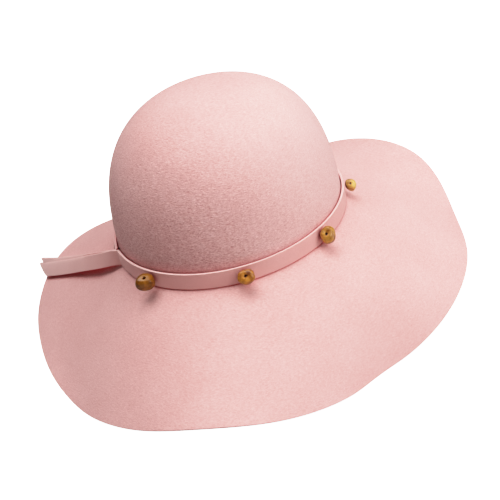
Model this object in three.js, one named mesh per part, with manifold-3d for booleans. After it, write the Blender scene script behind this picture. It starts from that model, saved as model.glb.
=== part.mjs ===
// A church hat of pink wool felt: a tall domed crown and a wide floppy brim in one piece, a narrow felt
// ribbon round the foot of the crown with its two ends pinched together as a tail, and small polished
// stone nuggets sewn to the ribbon. Millimetres, +Z up, the front of the hat towards -Y.
import * as THREE from "three";
import { ParametricGeometry } from "three/addons/geometries/ParametricGeometry.js";
import { mergeVertices } from "three/addons/utils/BufferGeometryUtils.js";
import Module from "manifold-3d";

const manifold = await Module();
manifold.setup();

// Felt
const feltThickness = 2;
const sectors = 60;

// Crown, measured outside
const crownHalfWidth = 89;
const crownHalfLength = 98;
const crownHeight = 112;
const crownLean = 1.5; // how far the top sits towards +X
const sideFullness = 2.5; // 2 is a round dome, more is boxier
const topFullness = 2.85;
const crownRings = 12;
const crownRingEasing = 1.4; // crowds the rings towards the foot, where the wall turns fastest

// Brim
const footRadius = 1.6; // the fillet between crown and brim
const brimWidth = 106;
const brimRings = 8;

// How steeply the brim hangs where it leaves the crown and at its rim, in degrees below level, at angles
// round the hat from the front towards +X. It billows out at the front and at the back right, and droops
// between.
const brimFolds = [
  { angle: 0, rootSlope: 26, rimSlope: 32 },
  { angle: 22, rootSlope: 25, rimSlope: 55 },
  { angle: 45, rootSlope: 25, rimSlope: 77 },
  { angle: 67, rootSlope: 26, rimSlope: 58 },
  { angle: 90, rootSlope: 33, rimSlope: 36 },
  { angle: 112, rootSlope: 29, rimSlope: 34 },
  { angle: 135, rootSlope: 29, rimSlope: 3 },
  { angle: 157, rootSlope: 29, rimSlope: 2 },
  { angle: 180, rootSlope: 29, rimSlope: 26 },
  { angle: 203, rootSlope: 29, rimSlope: 60 },
  { angle: 225, rootSlope: 30, rimSlope: 28 },
  { angle: 248, rootSlope: 28, rimSlope: 21 },
  { angle: 270, rootSlope: 28, rimSlope: 34 },
  { angle: 293, rootSlope: 41, rimSlope: 38 },
  { angle: 315, rootSlope: 36, rimSlope: 47 },
  { angle: 338, rootSlope: 30, rimSlope: 42 },
];

// The three droops that the hat stands on, and how far the felt is pressed flat there
const standingAngles = [45, 203, 315];
const pressedFlat = 2;

// Ribbon, cut from the same felt
const ribbonWidth = 12.4;
const ribbonThickness = 2;
const ribbonStandOff = 0.7; // from the crown to the ribbon's inner face
const ribbonFoot = 0.6; // lower edge, above the foot of the crown
const ribbonSteps = 66;

// The ends of the ribbon leave the crown as a tail of two layers, the front one with a bend and the back
// one with a fold. The tail lies along the brim and past its rim; headings are angles round the hat.
const tailRootHeading = 236;
const tailHeading = 230;
const tailRootLength = 8;
const swingSteps = 4;
const tailSteps = 10;
const tailLayers = {
  front: { leaves: 301.2, bendRadius: 2.2, bendSteps: 3, swingRadius: 42.4, length: 131 },
  back: { leaves: 294, bendRadius: 1.3, bendSteps: 7, swingRadius: 40, length: 118.5 },
};

// The height of the tail's lower edge and how far that edge leans out, by the way run along the tail
const tailDrop = [
  { run: 0, front: 0, back: -2.6, frontLean: 0, backLean: 4.5 },
  { run: 9, front: -2, back: -5, frontLean: 2.2, backLean: 5 },
  { run: 26, front: -8.3, back: -11.2, frontLean: 5, backLean: 5 },
  { run: 53, front: -18.4, back: -20.8, frontLean: 6, backLean: 6 },
  { run: 79, front: -28.9, back: -30.5, frontLean: 6, backLean: 6 },
  { run: 105, front: -38.8, back: -39.6, frontLean: 6, backLean: 6 },
  { run: 150, front: -54.6, back: -53, frontLean: 6, backLean: 6 },
];

// The degrees of the loop before the fold over which it comes down to the tail
const sagReach = 28;

// The tail's ends are cut slanting: how far the lower corner falls short, and how far up the tail the rows
// of the mesh make room for it
const tailCut = { slant: 18, reach: 45 };

// Nuggets
const nuggetSides = 18;
const nuggetRings = 11;
const nuggetSeat = 0.3; // gap to the ribbon's outer face
const nuggetBluntness = 9; // how hard the edges between a nugget's rubbed flats are
const cornerReach = 1.32; // how far its corners reach, where a flat lies at 1
const holeRadius = 0.65;
const holeSides = 8;

// How unevenly a nugget's flats lie: the most that each one strays, and how fast it changes from flat to
// flat and from nugget to nugget
const flatStrays = {
  bearing: { most: 12, flat: 2.1, shape: 1.3 },
  lean: { most: 12, flat: 1.7, shape: 2.2 },
  depth: { most: 0.08, flat: 2.9, shape: 0.9 },
};

// Each nugget has rubbed flats round its hole and one across each end of it. The hole's heading is an
// angle round the hat and its rise is above level, since the nuggets lie tilted on the ribbon.
const nuggets = [
  { name: "bead_1", angle: -28.5, rise: 8.4, heading: 20, holeRise: 69, turn: 62,
    flats: 4, width: 15, height: 12.5, depth: 9.8, shape: 1 },
  { name: "bead_2", angle: 17, rise: 7.9, heading: 8, holeRise: 40, turn: 38,
    flats: 5, width: 12.8, height: 11.5, depth: 9, shape: 2 },
  { name: "bead_3", angle: 58, rise: 7.9, heading: -4, holeRise: 40, turn: 20,
    flats: 5, width: 11.2, height: 13, depth: 9, shape: 3 },
  { name: "bead_4", angle: 101.5, rise: 6.8, heading: 9, holeRise: 42, turn: 0,
    flats: 6, width: 9, height: 10, depth: 8, shape: 4 },
  { name: "bead_5", angle: 147, rise: 7, heading: 160, holeRise: 40, turn: 30,
    flats: 5, width: 12, height: 11, depth: 9, shape: 5 },
  { name: "bead_6", angle: 192, rise: 7.2, heading: 180, holeRise: 35, turn: 80,
    flats: 4, width: 11, height: 12.5, depth: 9, shape: 6 },
  { name: "bead_7", angle: 238, rise: 7.4, heading: 215, holeRise: 50, turn: 140,
    flats: 6, width: 13, height: 11.5, depth: 10, shape: 7 },
];

const feltMaterial = new THREE.MeshStandardMaterial({ color: 0xf2c4c4, roughness: 0.95, metalness: 0 });
const ribbonMaterial = new THREE.MeshStandardMaterial({ color: 0xefbcbc, roughness: 0.9, metalness: 0 });
const nuggetMaterial = new THREE.MeshStandardMaterial({ color: 0xb5852f, roughness: 0.3, metalness: 0 });

const radians = THREE.MathUtils.degToRad;
const degrees = THREE.MathUtils.radToDeg;
const up = new THREE.Vector3(0, 0, 1);

// A level direction at an angle round the hat: 0 is the front, 90 is +X
function headingVector(angle) {
  return new THREE.Vector3(Math.sin(radians(angle)), -Math.cos(radians(angle)), 0);
}

// The outward normal of the crown's foot at an angle
function footNormal(angle) {
  const way = headingVector(angle);
  return new THREE.Vector3(way.x / crownHalfWidth, way.y / crownHalfLength, 0).normalize();
}

// A point on the crown's foot, moved outwards and up
function footPoint(angle, outset = 0, rise = 0) {
  const way = headingVector(angle);
  return new THREE.Vector3(way.x * crownHalfWidth, way.y * crownHalfLength, rise)
    .addScaledVector(footNormal(angle), outset);
}

// A smooth curve through the rows of a table that goes right round, read at any angle
function roundTable(rows, column, angle) {
  const count = rows.length;
  const a = THREE.MathUtils.euclideanModulo(angle, 360);
  const before = rows.findLastIndex((row) => row.angle <= a);
  const row = (step) => {
    const index = before + step;
    const turns = Math.floor(index / count);
    const found = rows[THREE.MathUtils.euclideanModulo(index, count)];
    return { angle: found.angle + 360 * turns, value: found[column] };
  };
  const [p, q, r, s] = [row(-1), row(0), row(1), row(2)];
  const span = r.angle - q.angle;
  const t = (a - q.angle) / span;
  const slopeIn = (span * (r.value - p.value)) / (r.angle - p.angle);
  const slopeOut = (span * (s.value - q.value)) / (s.angle - q.angle);
  const t2 = t * t;
  const t3 = t2 * t;
  return (2 * t3 - 3 * t2 + 1) * q.value + (t3 - 2 * t2 + t) * slopeIn
    + (3 * t2 - 2 * t3) * r.value + (t3 - t2) * slopeOut;
}

// The fillet between crown and brim at an angle: how far it turns, rises and spreads
function footFillet(angle) {
  const turn = radians(90 - roundTable(brimFolds, "rootSlope", angle));
  return { turn, lift: footRadius * Math.sin(turn), outset: footRadius * (1 - Math.cos(turn)) };
}

// The felt's outer face. The place along its section is 0 at the top of the crown, 1 at the crown's
// foot, 2 where the brim starts and 3 at the rim.
function crownPoint(along, angle) {
  const t = (Math.PI / 2) * Math.pow(Math.max(0, 1 - along), crownRingEasing);
  const reach = Math.pow(Math.max(0, Math.cos(t)), 2 / sideFullness);
  const height = Math.pow(Math.sin(t), 2 / topFullness);
  const way = headingVector(angle);
  return new THREE.Vector3(
    way.x * crownHalfWidth * reach + crownLean * height,
    way.y * crownHalfLength * reach,
    THREE.MathUtils.lerp(footFillet(angle).lift, crownHeight, height),
  );
}

function filletPoint(along, angle) {
  const { turn, lift } = footFillet(angle);
  const outset = footRadius * (1 - Math.cos(turn * along));
  return footPoint(angle, outset, lift - footRadius * Math.sin(turn * along));
}

// The brim's slope grows evenly from its root to its rim, so each section of it is an arc
function brimPoint(along, angle) {
  const rootSlope = roundTable(brimFolds, "rootSlope", angle);
  const slopeHere = THREE.MathUtils.lerp(rootSlope, roundTable(brimFolds, "rimSlope", angle), along);
  const halfTurn = radians(slopeHere - rootSlope) / 2;
  const chordPart = Math.abs(halfTurn) < 1e-6 ? 1 : Math.sin(halfTurn) / halfTurn;
  const chord = brimWidth * along * chordPart;
  const chordSlope = radians((rootSlope + slopeHere) / 2);
  const outset = footFillet(angle).outset + chord * Math.cos(chordSlope);
  return footPoint(angle, outset, -chord * Math.sin(chordSlope));
}

function outerPoint(along, angle) {
  if (along <= 1) return crownPoint(along, angle);
  if (along <= 2) return filletPoint(along - 1, angle);
  return brimPoint(along - 2, angle);
}

function outerNormal(along, angle) {
  if (along <= 0) return up.clone();
  const [stepAlong, stepAngle] = [0.002, 0.2];
  const [near, far] = [Math.max(along - stepAlong, 0.001), Math.min(along + stepAlong, 3)];
  const down = outerPoint(far, angle).sub(outerPoint(near, angle));
  const round = outerPoint(along, angle + stepAngle).sub(outerPoint(along, angle - stepAngle));
  return down.cross(round).normalize();
}

function feltPoint(along, angle, depth) {
  return outerPoint(along, angle).addScaledVector(outerNormal(along, angle), -depth);
}

// The level surface that the hat stands on, in the hat's own frame: it passes through the rim at the
// three droops, a little inside the felt
const standingPlane = new THREE.Plane().setFromCoplanarPoints(
  ...standingAngles.map((angle) => outerPoint(3, angle)),
);
if (standingPlane.normal.z < 0) standingPlane.negate();
standingPlane.constant -= pressedFlat;

function pressFlat(point) {
  const height = standingPlane.distanceToPoint(point);
  if (height < 0) point.addScaledVector(standingPlane.normal, -height);
  return point;
}

// Crown and brim: down the outer face, over the cut edge of the rim and back up the inner face
function makeFelt() {
  const outer = [];
  for (let i = 0; i <= crownRings; i++) outer.push(i / crownRings);
  outer.push(1.5);
  for (let i = 0; i <= brimRings; i++) outer.push(2 + i / brimRings);
  const section = [
    ...outer.map((along) => ({ along, depth: 0 })),
    ...outer.toReversed().map((along) => ({ along, depth: feltThickness })),
  ];
  const last = section.length - 1;
  return new ParametricGeometry((u, v, target) => {
    const { along, depth } = section[Math.round(v * last)];
    target.copy(pressFlat(feltPoint(along, 360 * ((1 - u) % 1), depth)));
  }, sectors, last);
}

// A route in plan, drawn by going forwards and turning
class Route {
  constructor(start, heading) {
    this.place = start.clone();
    this.heading = heading;
    this.points = [];
  }
  forward(length, steps = 1) {
    for (let i = 0; i < steps; i++) {
      this.place.addScaledVector(headingVector(this.heading), length / steps);
      this.points.push(this.place.clone());
    }
    return this;
  }
  turn(radius, byAngle, steps) {
    const part = byAngle / steps;
    const chord = 2 * radius * Math.sin(Math.abs(radians(part)) / 2);
    for (let i = 0; i < steps; i++) {
      this.heading += part / 2;
      this.forward(chord);
      this.heading += part / 2;
    }
    return this;
  }
}

function normalHeading(angle) {
  const normal = footNormal(angle);
  return degrees(Math.atan2(normal.x, -normal.y));
}

function readTail(run, column) {
  const next = Math.max(1, tailDrop.findIndex((row) => row.run >= run));
  const [from, to] = [tailDrop[next - 1], tailDrop[next]];
  return THREE.MathUtils.mapLinear(run, from.run, to.run, from[column], to[column]);
}

// A row of the ribbon: a place of its upper edge, in plan, and one of its lower edge, which leans out to the
// tail's front, both at the lower edge's height
function ribbonRow(place, foot, lean) {
  return { place, foot: foot.clone().addScaledVector(headingVector(tailHeading + 90), lean), lean };
}

// One layer of the tail from the crown to its tip. The loop runs into the back layer and out of the front.
function tailLine(layer) {
  const { leaves, bendRadius, bendSteps, swingRadius, length } = tailLayers[layer];
  const side = layer === "front" ? 1 : -1;
  const start = footPoint(leaves, ribbonStandOff + ribbonThickness / 2);
  const heading = normalHeading(leaves) + 360 - 90 * side;
  const route = new Route(start, heading)
    .turn(bendRadius, tailRootHeading - heading, bendSteps)
    .forward(tailRootLength)
    .turn(swingRadius, tailHeading - tailRootHeading, swingSteps)
    .forward(length, tailSteps);
  const points = [start, ...route.points];
  const runs = [0];
  points.slice(1).forEach((place, i) => runs.push(runs[i] + place.distanceTo(points[i])));
  const placeAt = (run) => {
    const next = Math.max(1, runs.findIndex((reached) => reached >= run));
    const share = (run - runs[next - 1]) / (runs[next] - runs[next - 1]);
    return points[next - 1].clone().lerp(points[next], share).setZ(ribbonFoot + readTail(run, layer));
  };
  return runs.slice(1).map((run) => {
    const near = Math.max(0, 1 - (runs.at(-1) - run) / tailCut.reach);
    return ribbonRow(placeAt(run), placeAt(run - tailCut.slant * near ** 2), readTail(run, layer + "Lean"));
  });
}

// The ribbon's line: the front layer of the tail from its tip inwards, once round the crown, a fold, and
// the back layer out to its own tip
function ribbonLine() {
  const { front, back } = tailLayers;
  const sweep = back.leaves + 360 - front.leaves;
  const round = Array.from({ length: ribbonSteps + 1 }, (_, i) => {
    const angle = front.leaves + (sweep * i) / ribbonSteps;
    const near = THREE.MathUtils.smoothstep(angle, back.leaves + 360 - sagReach, back.leaves + 360);
    const height = ribbonFoot + near * tailDrop[0].back;
    const place = footPoint(angle, ribbonStandOff + ribbonThickness / 2, height);
    return ribbonRow(place, place, near * tailDrop[0].backLean);
  });
  return [...tailLine("front").toReversed(), ...round, ...tailLine("back")];
}

// A strip on edge along a line
function makeRibbon() {
  const line = ribbonLine();
  const corners = [
    { side: 1, top: 0 },
    { side: -1, top: 0 },
    { side: -1, top: 1 },
    { side: 1, top: 1 },
  ];
  const last = line.length - 1;
  return new ParametricGeometry((u, v, target) => {
    const row = Math.round(v * (last + 2)) - 1;
    const index = THREE.MathUtils.clamp(row, 0, last);
    const { place, foot, lean } = line[index];
    const before = line[Math.max(index - 1, 0)].place;
    const after = line[Math.min(index + 1, last)].place;
    const across = after.clone().sub(before).setZ(0).normalize().cross(up);
    const rise = Math.sqrt(ribbonWidth ** 2 - lean ** 2);
    const { side, top } = row === index ? corners[Math.round(u * 4) % 4] : { side: 0, top: 0.5 };
    target.copy(foot).lerp(place, top).addScaledVector(across, (side * ribbonThickness) / 2);
    target.z += top * rise;
  }, 4, last + 2);
}

// Solids for cutting
function toSolid(geometry) {
  const bare = geometry.clone();
  bare.deleteAttribute("normal");
  bare.deleteAttribute("uv");
  const merged = mergeVertices(bare, 1e-4);
  return new manifold.Manifold(new manifold.Mesh({
    numProp: 3,
    vertProperties: new Float32Array(merged.attributes.position.array),
    triVerts: new Uint32Array(merged.index.array),
  }));
}

function toGeometry(solid) {
  const mesh = solid.getMesh();
  return new THREE.BufferGeometry()
    .setAttribute("position", new THREE.BufferAttribute(mesh.vertProperties, 3))
    .setIndex(new THREE.BufferAttribute(mesh.triVerts, 1));
}

function stray({ most, flat, shape }, index, nugget) {
  return most * Math.sin(flat * index + shape * nugget.shape);
}

// The flats round a nugget's hole and across its ends, for a nugget of half size 1
function nuggetFlats(nugget) {
  const sides = Array.from({ length: nugget.flats }, (_, i) => {
    const bearing = radians((360 * i) / nugget.flats + stray(flatStrays.bearing, i, nugget));
    const lean = radians(90 - stray(flatStrays.lean, i, nugget));
    const normal = new THREE.Vector3().setFromSphericalCoords(1, lean, bearing);
    return new THREE.Plane(normal, 1 + stray(flatStrays.depth, i, nugget));
  });
  const ends = [-1, 1].map((way) => {
    const tilt = radians(stray(flatStrays.lean, way, nugget) / 2);
    return new THREE.Plane(new THREE.Vector3(Math.sin(tilt), way * Math.cos(tilt), 0), 1);
  });
  return [...sides, ...ends];
}

// A polished pebble with softened edges between its flats, its hole along Z
function makeNugget(nugget) {
  const ball = new THREE.SphereGeometry(1, nuggetSides, nuggetRings);
  const flats = nuggetFlats(nugget);
  const place = ball.attributes.position;
  const way = new THREE.Vector3();
  for (let i = 0; i < place.count; i++) {
    way.fromBufferAttribute(place, i).normalize();
    const pressed = flats.reduce((sum, flat) => {
      return sum + Math.max(0, way.dot(flat.normal) / flat.constant) ** nuggetBluntness;
    }, cornerReach ** -nuggetBluntness);
    way.multiplyScalar(pressed ** (-1 / nuggetBluntness));
    place.setXYZ(i, way.x, way.y, way.z);
  }
  ball.rotateX(Math.PI / 2).rotateZ(radians(nugget.turn)).computeBoundingBox();
  const size = ball.boundingBox.getSize(new THREE.Vector3());
  const { width, height, depth } = nugget;
  ball.center().scale(width / size.x, height / size.y, depth / size.z);
  const drill = new THREE.CylinderGeometry(holeRadius, holeRadius, 2 * depth, holeSides);
  return toGeometry(toSolid(ball).subtract(toSolid(drill.rotateX(Math.PI / 2))));
}

function makeMesh(name, geometry, material) {
  const mesh = new THREE.Mesh(geometry, material);
  mesh.name = name;
  return mesh;
}

// The turn that stands a level direction's own frame up: its Z along the direction, its Y upwards
function standUp(direction) {
  const sideways = up.clone().cross(direction).normalize();
  const basis = new THREE.Matrix4().makeBasis(sideways, direction.clone().cross(sideways), direction);
  return new THREE.Quaternion().setFromRotationMatrix(basis);
}

// A nugget sits on the ribbon's outer face, tilted so that its hole points along its own heading
function placeNugget(row) {
  const outwards = footNormal(row.angle);
  const hole = headingVector(row.heading).multiplyScalar(Math.cos(radians(row.holeRise)));
  hole.z = Math.sin(radians(row.holeRise));
  const mesh = makeMesh(row.name, makeNugget(row), nuggetMaterial.clone());
  mesh.quaternion.copy(standUp(hole));
  const turned = mesh.geometry.clone().applyQuaternion(mesh.quaternion);
  const facing = turned.applyQuaternion(standUp(outwards).invert());
  facing.computeBoundingBox();
  const outset = ribbonStandOff + ribbonThickness + nuggetSeat - facing.boundingBox.min.z;
  mesh.position.copy(footPoint(row.angle, outset, row.rise));
  return mesh;
}

const hat = new THREE.Group();
hat.name = "church_hat";
hat.add(makeMesh("felt_body", makeFelt(), feltMaterial));
hat.add(makeMesh("hat_band", makeRibbon(), ribbonMaterial));
for (const row of nuggets) hat.add(placeNugget(row));

// Stand the hat on its rim, with the middle of its outline over the origin
hat.quaternion.setFromUnitVectors(standingPlane.normal, up);
hat.position.z = standingPlane.constant;
hat.updateMatrixWorld(true);
const middle = new THREE.Box3().setFromObject(hat, true).getCenter(new THREE.Vector3());
hat.position.x -= middle.x;
hat.position.y -= middle.y;

const part = new THREE.Group();
part.add(hat);

export default part;
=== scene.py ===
# A church hat of pale pink wool felt, with a felt ribbon round its crown and stone nuggets sewn to it.
# Lengths are in metres, angles in degrees.
from math import cos, radians, sin

import bmesh
import bpy
from mathutils import Matrix, Vector


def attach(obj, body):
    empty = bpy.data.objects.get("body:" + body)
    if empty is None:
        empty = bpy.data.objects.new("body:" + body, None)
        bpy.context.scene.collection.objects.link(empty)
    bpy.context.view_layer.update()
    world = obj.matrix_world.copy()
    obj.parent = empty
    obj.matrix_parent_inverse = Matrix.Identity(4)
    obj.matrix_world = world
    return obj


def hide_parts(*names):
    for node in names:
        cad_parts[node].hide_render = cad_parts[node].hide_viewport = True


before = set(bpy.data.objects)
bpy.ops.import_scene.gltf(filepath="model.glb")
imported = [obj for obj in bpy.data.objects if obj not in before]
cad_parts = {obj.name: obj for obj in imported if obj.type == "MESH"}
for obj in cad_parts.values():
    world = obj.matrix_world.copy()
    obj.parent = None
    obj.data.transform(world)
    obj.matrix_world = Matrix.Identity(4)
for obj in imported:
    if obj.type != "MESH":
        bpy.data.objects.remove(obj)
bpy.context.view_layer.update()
print("frame loaded:", len(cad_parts), "nodes")


# Camera

camera = {
    "place": (0.1998, -0.7619, 0.4836),
    "lookingAt": (0.0136, 0.0006, 0.0433),
    "roll": -11.31,
    "sensorWidth": 36.0,  # mm
    "pictureWidth": 500,  # pixels
    "focalLength": 1128,  # pixels
    "nearest": 0.01,
}


def makeCamera():
    s = camera
    lens = bpy.data.cameras.new("camera")
    lens.sensor_width = s["sensorWidth"]
    lens.lens = s["focalLength"] / s["pictureWidth"] * s["sensorWidth"]
    lens.clip_start = s["nearest"]
    eye = bpy.data.objects.new("camera", lens)
    bpy.context.scene.collection.objects.link(eye)
    place = Vector(s["place"])
    forward = (Vector(s["lookingAt"]) - place).to_track_quat("-Z", "Y")
    turn = forward.to_matrix().to_4x4() @ Matrix.Rotation(radians(s["roll"]), 4, "Z")
    eye.matrix_world = Matrix.Translation(place) @ turn
    bpy.context.scene.camera = eye


makeCamera()
print("camera placed")


# Node helpers

def setOrLink(tree, socket, value):
    if isinstance(value, bpy.types.NodeSocket):
        tree.links.new(value, socket)
    else:
        socket.default_value = value


def addNode(tree, kind, settings=None, **values):
    node = tree.nodes.new(kind)
    for name, value in (settings or {}).items():
        setattr(node, name, value)
    for name, value in values.items():
        setOrLink(tree, node.inputs[name], value)
    return node


def addGroup(tree, group, **values):
    return addNode(tree, "ShaderNodeGroup", {"node_tree": group}, **values).outputs


def mathNode(tree, operation, a, b=0.0, clamp=False):
    node = addNode(tree, "ShaderNodeMath", {"operation": operation, "use_clamp": clamp})
    for socket, value in zip(node.inputs, (a, b)):
        setOrLink(tree, socket, value)
    return node.outputs[0]


def mixColours(tree, share, a, b):
    node = addNode(tree, "ShaderNodeMix", {"data_type": "RGBA"})
    # A Mix node keeps the sockets of its other kinds between these.
    for socket, value in zip((node.inputs[0], node.inputs[6], node.inputs[7]), (share, a, b)):
        setOrLink(tree, socket, value)
    return node.outputs[2]


def axesOf(tree, vector):
    return addNode(tree, "ShaderNodeSeparateXYZ", Vector=vector).outputs


# Goes from low to high as the value passes over the span, and stays level on either side of it.
def rampValue(tree, value, span, low=0.0, high=1.0):
    return addNode(tree, "ShaderNodeMapRange", **{
        "Value": value, "From Min": span[0], "From Max": span[1], "To Min": low, "To Max": high,
    }).outputs[0]


def newMaterial(name, **values):
    material = bpy.data.materials.new(name)
    material.use_nodes = True
    surface = material.node_tree.nodes["Principled BSDF"]
    for socket, value in values.items():
        surface.inputs[socket].default_value = value
    return material, material.node_tree, surface


# Makes a node group, whose inputs and outputs are given as names with their kinds.
def newGroup(name, inputs, outputs):
    group = bpy.data.node_groups.new(name, "ShaderNodeTree")
    for sockets, way in ((inputs, "INPUT"), (outputs, "OUTPUT")):
        for socket, kind in sockets.items():
            group.interface.new_socket(socket, in_out=way, socket_type="NodeSocket" + kind)
    return group, group.nodes.new("NodeGroupInput").outputs, group.nodes.new("NodeGroupOutput").inputs


# Felt nap, the matted fibres that both the hat and the ribbon show

nap = {
    "layers": [
        {"turn": (12, -16, 0), "stretch": (0.55, 0.55, 1.55)},
        {"turn": (-14, 8, 50), "stretch": (0.5, 0.75, 1.7)},
    ],
    "fibres": {"Detail": 2.0, "Roughness": 0.6, "Distortion": 0.8},
    "patches": {"Detail": 4.0, "Roughness": 0.55},
    "middle": 0.5,  # of the noise, and of the way from the shade colour to the light one
    "roughnessSwing": 0.12,
}


def makeNapGroup():
    group, given, out = newGroup(
        "feltNap",
        {"Vector": "Vector", "Light Colour": "Color", "Shade Colour": "Color", "Fibre Scale": "Float",
         "Fibre Contrast": "Float", "Patch Scale": "Float", "Patch Contrast": "Float"},
        {"Colour": "Color", "Roughness": "Float", "Height": "Float"})
    layers = []
    for row in nap["layers"]:
        laid = addNode(group, "ShaderNodeMapping", {"vector_type": "POINT"}, Vector=given["Vector"],
                       Rotation=[radians(a) for a in row["turn"]], Scale=row["stretch"])
        fibres = addNode(group, "ShaderNodeTexNoise", Vector=laid.outputs[0], Scale=given["Fibre Scale"],
                         **nap["fibres"])
        layers.append(fibres.outputs["Fac"])
    tangle = mathNode(group, "MULTIPLY", mathNode(group, "ADD", *layers), 1 / len(layers))
    patches = addNode(group, "ShaderNodeTexNoise", Vector=given["Vector"], Scale=given["Patch Scale"],
                      **nap["patches"]).outputs["Fac"]
    share = nap["middle"]
    for value, contrast in ((tangle, "Fibre Contrast"), (patches, "Patch Contrast")):
        apart = mathNode(group, "SUBTRACT", value, nap["middle"])
        swing = mathNode(group, "MULTIPLY", apart, given[contrast])
        share = mathNode(group, "ADD", swing, share, clamp=True)
    smoother = mathNode(group, "MULTIPLY", tangle, nap["roughnessSwing"])
    group.links.new(mixColours(group, share, given["Shade Colour"], given["Light Colour"]), out["Colour"])
    group.links.new(mathNode(group, "SUBTRACT", 1.0, smoother), out["Roughness"])
    group.links.new(tangle, out["Height"])
    return group


napGroup = makeNapGroup()


# Crevices, where what is near shuts out much of the sky; shade is painted into the colour there

skySamples = 8


def makeCreviceGroup():
    group, given, out = newGroup(
        "crevice",
        {"Reach": "Float", "Start": "Float", "Full": "Float", "Extra Shade": "Float"},
        {"Share": "Float"})
    sky = addNode(group, "ShaderNodeAmbientOcclusion", {"samples": skySamples}, Distance=given["Reach"])
    shut = mathNode(group, "SUBTRACT", 1.0, sky.outputs["AO"])
    shade = mathNode(group, "ADD", shut, given["Extra Shade"])
    group.links.new(rampValue(group, shade, (given["Start"], given["Full"])), out["Share"])
    return group


creviceShadeGroup = makeCreviceGroup()


# Felt

# Crevice colour is painted shade, as light turns dark red going to and fro between walls of pink felt.
felt = {
    "lightColour": (1.0, 0.672, 0.65, 1),
    "shadeColour": (0.645, 0.28, 0.264, 1),
    "fibreScale": 1000.0,  # per metre
    "fibreContrast": 4.4,
    "patchScale": 26.0,  # per metre
    "patchContrast": 0.25,
    "bumpDepth": 0.0019,
    "creviceShadeColour": (0.66, 0.07, 0.075, 1),
    "creviceReach": 0.014,
    "creviceFrom": 0.44,  # share of the sky shut out
    "creviceTo": 0.84,
    "surface": {
        "Specular IOR Level": 0.2,
        "Sheen Weight": 0.2,
        "Sheen Roughness": 0.5,
        "Sheen Tint": (1, 0.96, 0.95, 1),
    },
}
ribbonFelt = dict(felt, lightColour=(0.90, 0.585, 0.555, 1), shadeColour=(0.67, 0.292, 0.272, 1),
                  fibreScale=1300.0, fibreContrast=1.2, patchScale=60.0, bumpDepth=0.0006)

# How strongly the nap, the felt's own grain, shows at a height above the floor.
# Low on the crown its colour contrast is strongest, as painted shading of the fibres under grazing light.
napHeights = [
    {"height": 0.0, "nap": 0.28},
    {"height": 0.08, "nap": 0.28},
    {"height": 0.09, "nap": 1.0},
    {"height": 0.115, "nap": 0.9},
    {"height": 0.145, "nap": 0.62},
    {"height": 0.185, "nap": 0.28},
]
napTop = 0.2  # the height at the ramp's end

crownFrom = 0.085  # all felt above this height is the crown

# The crown's lit right side has a calmer nap, partly painted light, and a painted sheen pales it. Spans are
# along X.
napCalm = {"span": (0.01, 0.08), "share": 0.45}
litSideSheen = {"span": (0.01, 0.10), "share": 0.16, "colour": (1.0, 0.86, 0.84, 1)}

# The crown is painted darker and redder just over the ribbon, as painted shade. The span is of heights.
shadeOverRibbon = {"span": (0.094, 0.085), "share": 0.38, "colour": (0.84, 0.24, 0.25, 1)}

# Painted highlight on the ribbon's top cut edge. The span is of how far a face points up.
litTopEdge = {"span": (0.45, 0.85), "share": 0.75, "colour": (1.0, 0.73, 0.70, 1)}

# The tail is painted lighter outwards, its top edge gets less painted highlight,
# and the felt near it gets more painted shade. Spans are along X.
tailPaintedLight = {"span": (-0.085, -0.18), "share": 0.45}
tailSide = {"span": (-0.075, -0.1), "edge": 0.25, "shade": 0.3}


# Nap strength by height and side; part of its colour contrast is painted light and shade.
def napByHeight(tree, place):
    axes = axesOf(tree, place)
    ramp = addNode(tree, "ShaderNodeValToRGB", Fac=mathNode(tree, "DIVIDE", axes["Z"], napTop))
    elements = ramp.color_ramp.elements
    for row, element in zip((napHeights[0], napHeights[-1]), elements):
        element.position = row["height"] / napTop
        element.color = (row["nap"],) * 3 + (1,)
    for row in napHeights[1:-1]:
        elements.new(row["height"] / napTop).color = (row["nap"],) * 3 + (1,)
    calm = rampValue(tree, axes["X"], napCalm["span"], high=napCalm["share"])
    onCrown = mathNode(tree, "GREATER_THAN", axes["Z"], crownFrom)
    kept = mathNode(tree, "SUBTRACT", 1.0, mathNode(tree, "MULTIPLY", calm, onCrown))
    return mathNode(tree, "MULTIPLY", ramp.outputs["Color"], kept)


# Paints a sheen on the crown's lit right side and shade just over the ribbon.
def tintCrown(tree, spot, colour):
    axes = axesOf(tree, spot["Object"])
    onCrown = mathNode(tree, "GREATER_THAN", axes["Z"], crownFrom)
    for tint, axis in ((litSideSheen, "X"), (shadeOverRibbon, "Z")):
        share = rampValue(tree, axes[axis], tint["span"], high=tint["share"])
        colour = mixColours(tree, mathNode(tree, "MULTIPLY", share, onCrown), colour, tint["colour"])
    return colour


# Paints light on the ribbon: lighter towards the tail's end, and a highlight on its top edge.
def tintRibbon(tree, spot, colour):
    along = axesOf(tree, spot["Object"])["X"]
    fade = rampValue(tree, along, tailPaintedLight["span"], high=tailPaintedLight["share"])
    colour = mixColours(tree, fade, colour, litTopEdge["colour"])
    edge = rampValue(tree, axesOf(tree, spot["Normal"])["Z"], litTopEdge["span"], high=litTopEdge["share"])
    dull = rampValue(tree, along, tailSide["span"], 1.0, tailSide["edge"])
    return mixColours(tree, mathNode(tree, "MULTIPLY", edge, dull), colour, litTopEdge["colour"])


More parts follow.
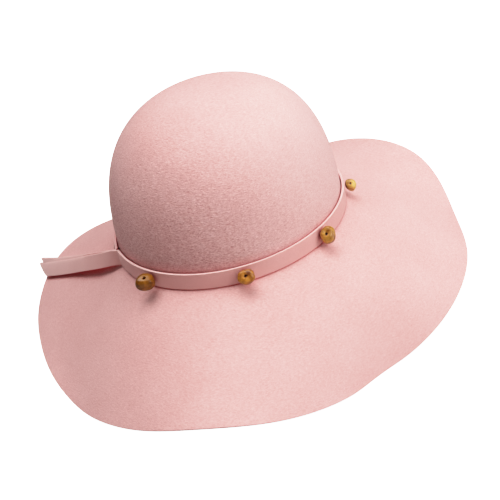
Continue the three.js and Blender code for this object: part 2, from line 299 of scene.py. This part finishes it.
def makeFeltMaterial(name, s, tint):
    material, tree, surface = newMaterial(name, **s["surface"])
    spot = addNode(tree, "ShaderNodeTexCoord").outputs
    place = spot["Object"]
    strength = napByHeight(tree, place)
    fibres = addGroup(tree, napGroup, **{
        "Vector": place, "Light Colour": s["lightColour"], "Shade Colour": s["shadeColour"],
        "Fibre Scale": s["fibreScale"],
        "Fibre Contrast": mathNode(tree, "MULTIPLY", strength, s["fibreContrast"]),
        "Patch Scale": s["patchScale"], "Patch Contrast": s["patchContrast"],
    })
    crevice = addGroup(tree, creviceShadeGroup, **{
        "Reach": s["creviceReach"], "Start": s["creviceFrom"], "Full": s["creviceTo"],
        "Extra Shade": rampValue(tree, axesOf(tree, place)["X"], tailSide["span"], high=tailSide["shade"]),
    })
    tinted = tint(tree, spot, fibres["Colour"])
    # Painted shade: the crevice share mixes in the dark red crevice colour.
    colour = mixColours(tree, crevice["Share"], tinted, s["creviceShadeColour"])
    bump = addNode(tree, "ShaderNodeBump", Height=fibres["Height"], Strength=strength,
                   Distance=s["bumpDepth"])
    tree.links.new(colour, surface.inputs["Base Color"])
    tree.links.new(fibres["Roughness"], surface.inputs["Roughness"])
    tree.links.new(bump.outputs[0], surface.inputs["Normal"])
    return material


feltMaterial = makeFeltMaterial("felt", felt, tintCrown)
ribbonMaterial = makeFeltMaterial("ribbon", ribbonFelt, tintRibbon)
print("felt materials made")


# Mesh helpers

cadCopy = {"mergeDistance": 0.00001, "flatAngle": 50, "squareAngle": 80}


# The frame's meshes are loose triangles, so a copy is merged and its pairs of triangles are joined.
def copyOfNode(node):
    bm = bmesh.new()
    bm.from_mesh(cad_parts[node].data)
    bmesh.ops.remove_doubles(bm, verts=bm.verts, dist=cadCopy["mergeDistance"])
    bmesh.ops.join_triangles(bm, faces=bm.faces, cmp_seam=False, cmp_sharp=False, cmp_uvs=False,
                             cmp_vcols=False, cmp_materials=False,
                             angle_face_threshold=radians(cadCopy["flatAngle"]),
                             angle_shape_threshold=radians(cadCopy["squareAngle"]))
    return bm


def roundEdges(bm, s):
    least = radians(s["edgeAngle"])
    edges = [e for e in bm.edges if len(e.link_faces) == 2 and e.calc_face_angle() > least]
    bmesh.ops.bevel(bm, geom=edges, offset=s["edgeRounding"], segments=s["edgeSegments"], affect="EDGES",
                    profile=0.5, material=-1, offset_type="OFFSET", clamp_overlap=True)


def meshObject(bm, name, material):
    mesh = bpy.data.meshes.new(name)
    bm.to_mesh(mesh)
    bm.free()
    mesh.materials.append(material)
    made = bpy.data.objects.new(name, mesh)
    bpy.context.scene.collection.objects.link(made)
    return made


def finishPiece(bm, name, material, nodes=(), levels=0):
    piece = meshObject(bm, name, material)
    piece.data.shade_smooth()
    if levels:
        smooth = piece.modifiers.new("smooth", "SUBSURF")
        smooth.levels = smooth.render_levels = levels
    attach(piece, "root")
    if nodes:
        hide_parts(*nodes)


# Hat felt

hatShell = {"edgeAngle": 50, "edgeRounding": 0.0004, "edgeSegments": 2, "levels": 2}


def makeHat():
    bm = copyOfNode("felt_body")
    roundEdges(bm, hatShell)
    finishPiece(bm, "felt_shell", feltMaterial, ["felt_body"], hatShell["levels"])


makeHat()
print("hat made")


# Ribbon

ribbon = {"edgeAngle": 60, "edgeRounding": 0.00025, "edgeSegments": 2, "levels": 2}


def makeRibbon():
    bm = copyOfNode("hat_band")
    roundEdges(bm, ribbon)
    finishPiece(bm, "felt_ribbon", ribbonMaterial, ["hat_band"], ribbon["levels"])


makeRibbon()
print("ribbon made")


# Tack stitch, the knot of thread that holds the ribbon's fold, near black to paint the shade of the gap
# there

tack = {
    "place": (-0.0738, -0.0512, 0.0836),
    "radii": (0.0007, 0.0005, 0.0004),
    "segments": 16,
    "rings": 8,
    "surface": {"Base Color": (0.05, 0.012, 0.012, 1), "Roughness": 0.8},
}


def makeTack():
    threadAndShade = newMaterial("threadAndShade", **tack["surface"])[0]
    bm = bmesh.new()
    bmesh.ops.create_uvsphere(bm, u_segments=tack["segments"], v_segments=tack["rings"], radius=1.0)
    bmesh.ops.scale(bm, vec=tack["radii"], verts=bm.verts)
    bmesh.ops.translate(bm, vec=tack["place"], verts=bm.verts)
    finishPiece(bm, "tack_stitch_and_shade", threadAndShade)


makeTack()
print("tack made")


# Nuggets

stone = {
    "colour": (0.56, 0.28, 0.045, 1),
    "darkColour": (0.17, 0.052, 0.007, 1),
    "cloudScale": 150.0,  # per metre
    "clouds": {"Detail": 4.0, "Roughness": 0.6, "Distortion": 0.6},
    "cloudSpan": (0.42, 0.7),  # of the noise, over which the stone darkens
    "chipScale": 210.0,  # per metre
    "chipDepth": 0.0011,
    # Painted shade, where the sky is shut out under the nugget and in its hole:
    "hiddenShadeColour": (0.10, 0.016, 0.006, 1),  # under the nugget and in its hole
    "hiddenReach": 0.006,
    "hiddenFrom": 0.25,  # share of the sky shut out
    "hiddenTo": 0.75,
    "surface": {
        "Roughness": 0.3,
        "Specular IOR Level": 0.35,
        "Coat Weight": 0.3,
        "Coat Roughness": 0.12,
    },
    "levels": 2,
}

# How light each nugget is; the fourth is nearly yellow and the first is olive brown.
nuggetTones = {
    "nugget_1": (0.54, 0.44, 0.24),
    "nugget_2": (0.97, 0.86, 0.95),
    "nugget_3": (1.18, 1.28, 1.75),
    "nugget_4": (1.38, 1.85, 3.6),
    "nugget_5": (1.0, 1.0, 1.0),
    "nugget_6": (0.8, 0.8, 0.8),
    "nugget_7": (1.2, 1.2, 1.3),
}


def makeStoneMaterial(name, tone):
    s = stone
    material, tree, surface = newMaterial(name, **s["surface"])
    place = addNode(tree, "ShaderNodeTexCoord").outputs["Object"]
    clouds = addNode(tree, "ShaderNodeTexNoise", Vector=place, Scale=s["cloudScale"], **s["clouds"])
    chips = addNode(tree, "ShaderNodeTexVoronoi", {"feature": "F1"}, Vector=place, Scale=s["chipScale"])
    toned = [[min(c * t, 1.0) for c, t in zip(s[key], tone)] + [1] for key in ("colour", "darkColour")]
    clouded = mixColours(tree, rampValue(tree, clouds.outputs["Fac"], s["cloudSpan"]), *toned)
    hidden = addGroup(tree, creviceShadeGroup, **{
        "Reach": s["hiddenReach"], "Start": s["hiddenFrom"], "Full": s["hiddenTo"], "Extra Shade": 0.0,
    })
    # Painted shade: the dark colour is mixed in where the sky is shut out.
    colour = mixColours(tree, hidden["Share"], clouded, s["hiddenShadeColour"])
    bump = addNode(tree, "ShaderNodeBump", Height=chips.outputs["Distance"], Strength=1.0,
                   Distance=s["chipDepth"])
    tree.links.new(colour, surface.inputs["Base Color"])
    tree.links.new(bump.outputs[0], surface.inputs["Normal"])
    return material


def makeNugget(node):
    name = node.replace("bead", "nugget")
    material = makeStoneMaterial(name, nuggetTones[name])
    finishPiece(copyOfNode(node), name, material, [node], stone["levels"])


for node in sorted(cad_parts):
    if node.startswith("bead_"):
        makeNugget(node)
print("nuggets made")


# Floor, lights and background

white = (1, 1, 1, 1)

# The camera sees the floor and the world whiter than they light the hat, as in an overexposed backdrop.
studio = {
    "lit": (0, 0, 0.06),  # the place that the lights face
    "lightsAway": 2.2,
    "floorSize": 12.0,
    "floorColour": (0.55, 0.55, 0.55, 1),
    "floorRoughness": 0.9,
    "floorGlow": 2.0,
    "worldStrength": 0.076,
    "worldColour": (1.0, 0.79, 0.77, 1),
    "backdropStrength": 4.0,
}

# Each light faces the hat from its heading round the hat (0 from the front, 90 from the right) and its rise.
lights = [
    {"name": "overhead", "heading": 60, "rise": 86, "size": 1.5, "power": 30.0},
    {"name": "leftHigh", "heading": 262, "rise": 66, "size": 1.1, "power": 15.4},
    {"name": "right", "heading": 82, "rise": 41, "size": 1.5, "power": 19.1},
    {"name": "rightLow", "heading": 78, "rise": 17, "size": 1.0, "power": 7.8},
    {"name": "rightFront", "heading": 45, "rise": 35, "size": 1.3, "power": 14.9},
    {"name": "backHigh", "heading": 170, "rise": 62, "size": 1.5, "power": 7.2},
]

# How the picture shows light, as a camera does: a soft foot in the shade and a soft shoulder near white
response = [
    {"light": 0.0, "shown": 0.0},
    {"light": 0.05, "shown": 0.027},
    {"light": 0.18, "shown": 0.126},
    {"light": 0.45, "shown": 0.375},
    {"light": 0.75, "shown": 0.643},
    {"light": 1.05, "shown": 0.829},
    {"light": 2.0, "shown": 1.0},
]


def makeFloor():
    s = studio
    material, tree, surface = newMaterial("floor", **{
        "Base Color": s["floorColour"], "Roughness": s["floorRoughness"], "Emission Color": white,
    })
    seen = addNode(tree, "ShaderNodeLightPath").outputs["Is Camera Ray"]
    tree.links.new(mathNode(tree, "MULTIPLY", seen, s["floorGlow"]), surface.inputs["Emission Strength"])
    bm = bmesh.new()
    bmesh.ops.create_grid(bm, x_segments=1, y_segments=1, size=s["floorSize"] / 2)
    floor = meshObject(bm, "floor", material)


def makeLights():
    for row in lights:
        lamp = bpy.data.lights.new(row["name"], "AREA")
        lamp.shape = "DISK"
        lamp.size = row["size"]
        lamp.energy = row["power"]
        holder = bpy.data.objects.new(row["name"], lamp)
        bpy.context.scene.collection.objects.link(holder)
        turn, rise = radians(row["heading"]), radians(row["rise"])
        outward = Vector((sin(turn) * cos(rise), -cos(turn) * cos(rise), sin(rise)))
        holder.location = Vector(studio["lit"]) + studio["lightsAway"] * outward
        holder.rotation_euler = outward.to_track_quat("Z", "Y").to_euler()


def makeWorld():
    s = studio
    world = bpy.data.worlds.new("studio")
    bpy.context.scene.world = world
    world.use_nodes = True
    tree = world.node_tree
    background = tree.nodes["Background"].inputs
    seen = addNode(tree, "ShaderNodeLightPath").outputs["Is Camera Ray"]
    extra = mathNode(tree, "MULTIPLY", seen, s["backdropStrength"] - s["worldStrength"])
    tree.links.new(mixColours(tree, seen, s["worldColour"], white), background["Color"])
    tree.links.new(mathNode(tree, "ADD", extra, s["worldStrength"]), background["Strength"])


def setResponse():
    view = bpy.context.scene.view_settings
    view.view_transform = "Standard"
    view.use_curve_mapping = True
    mapping = view.curve_mapping
    fullLight = response[-1]["light"]
    mapping.white_level = [fullLight] * 3
    combined = mapping.curves[3]  # the curve for all three colours
    for row in response[1:-1]:
        combined.points.new(row["light"] / fullLight, row["shown"])
    mapping.update()


makeFloor()
makeLights()
makeWorld()
setResponse()
print("stage set")
